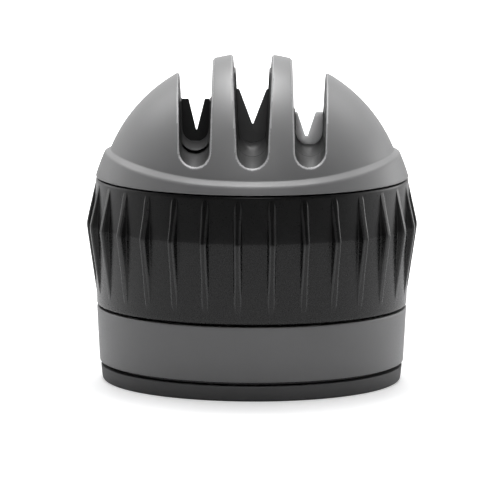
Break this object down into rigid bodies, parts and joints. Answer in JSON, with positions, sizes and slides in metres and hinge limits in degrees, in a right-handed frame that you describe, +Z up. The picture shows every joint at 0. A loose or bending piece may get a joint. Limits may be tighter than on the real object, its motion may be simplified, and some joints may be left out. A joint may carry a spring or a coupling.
{
  "type": "knife sharpener",
  "caption": "Domed knife sharpener with coarse, medium and fine slots on a ribbed twist ring that works a suction base.",
  "frame": {"origin": "on the worktop, under the middle of the suction pad", "axes": "+Z up along the grip ring's axis; the knife is drawn through the slots along Y; the coarse slot is towards -X"},
  "size_m": [0.08, 0.0798, 0.0784],
  "materials": {
    "grey_plastic": "satin moulded grey",
    "band_plastic": "satin moulded grey, a little darker",
    "black_plastic": "finely textured black",
    "inner_plastic": "plain moulded dark grey",
    "acetal": "natural slippery acetal",
    "rubber": "matte black rubber",
    "carbide": "ground dark tungsten carbide",
    "diamond": "gritty diamond coating",
    "ceramic": "unglazed fine ceramic",
    "steel": "zinc-plated steel"
  },
  "bodies": {
    "base": {"dome_housing": "grey_plastic", "coarse_holder": "black_plastic", "coarse_plate_front": "carbide", "coarse_plate_rear": "carbide", "medium_holder": "grey_plastic", "medium_plate_front": "diamond", "medium_plate_rear": "diamond", "fine_holder": "grey_plastic", "fine_plate_front": "ceramic", "fine_plate_rear": "ceramic", "insert_retainer": "inner_plastic", "deck_plate": "inner_plastic", "chassis": "black_plastic", "base_band": "band_plastic", "suction_pad": "rubber", "return_spring": "steel", "column_screw_1": "steel", "column_screw_2": "steel", "column_screw_3": "steel", "base_screw_1": "steel", "base_screw_2": "steel", "base_screw_3": "steel", "deck_screw_1": "steel", "deck_screw_2": "steel", "deck_screw_3": "steel", "deck_screw_4": "steel", "retainer_screw_1": "steel", "retainer_screw_2": "steel"},
    "ring": {"grip_ring": "black_plastic", "cam_sleeve": "acetal"},
    "lift": {"lift_carrier": "acetal", "cam_pin_1": "steel", "cam_pin_2": "steel", "cam_pin_3": "steel", "stem": "steel", "stem_washer": "steel", "stem_nut": "steel"}
  },
  "joints": [
    {"name": "ring_twist", "type": "hinge", "parent": "base", "child": "ring", "pos_m": [0, 0, 0.0338], "axis": [0, 0, 1], "range_deg": [0, 90]},
    {"name": "pad_lift", "type": "slide", "parent": "base", "child": "lift", "axis": [0, 0, 1], "range_m": [0, 0.00301], "deforming": ["suction_pad", "return_spring"]}
  ],
  "couplings": [
    {"joint": "pad_lift", "follows": "ring_twist", "m_per_rad": 0.0019099}
  ]
}
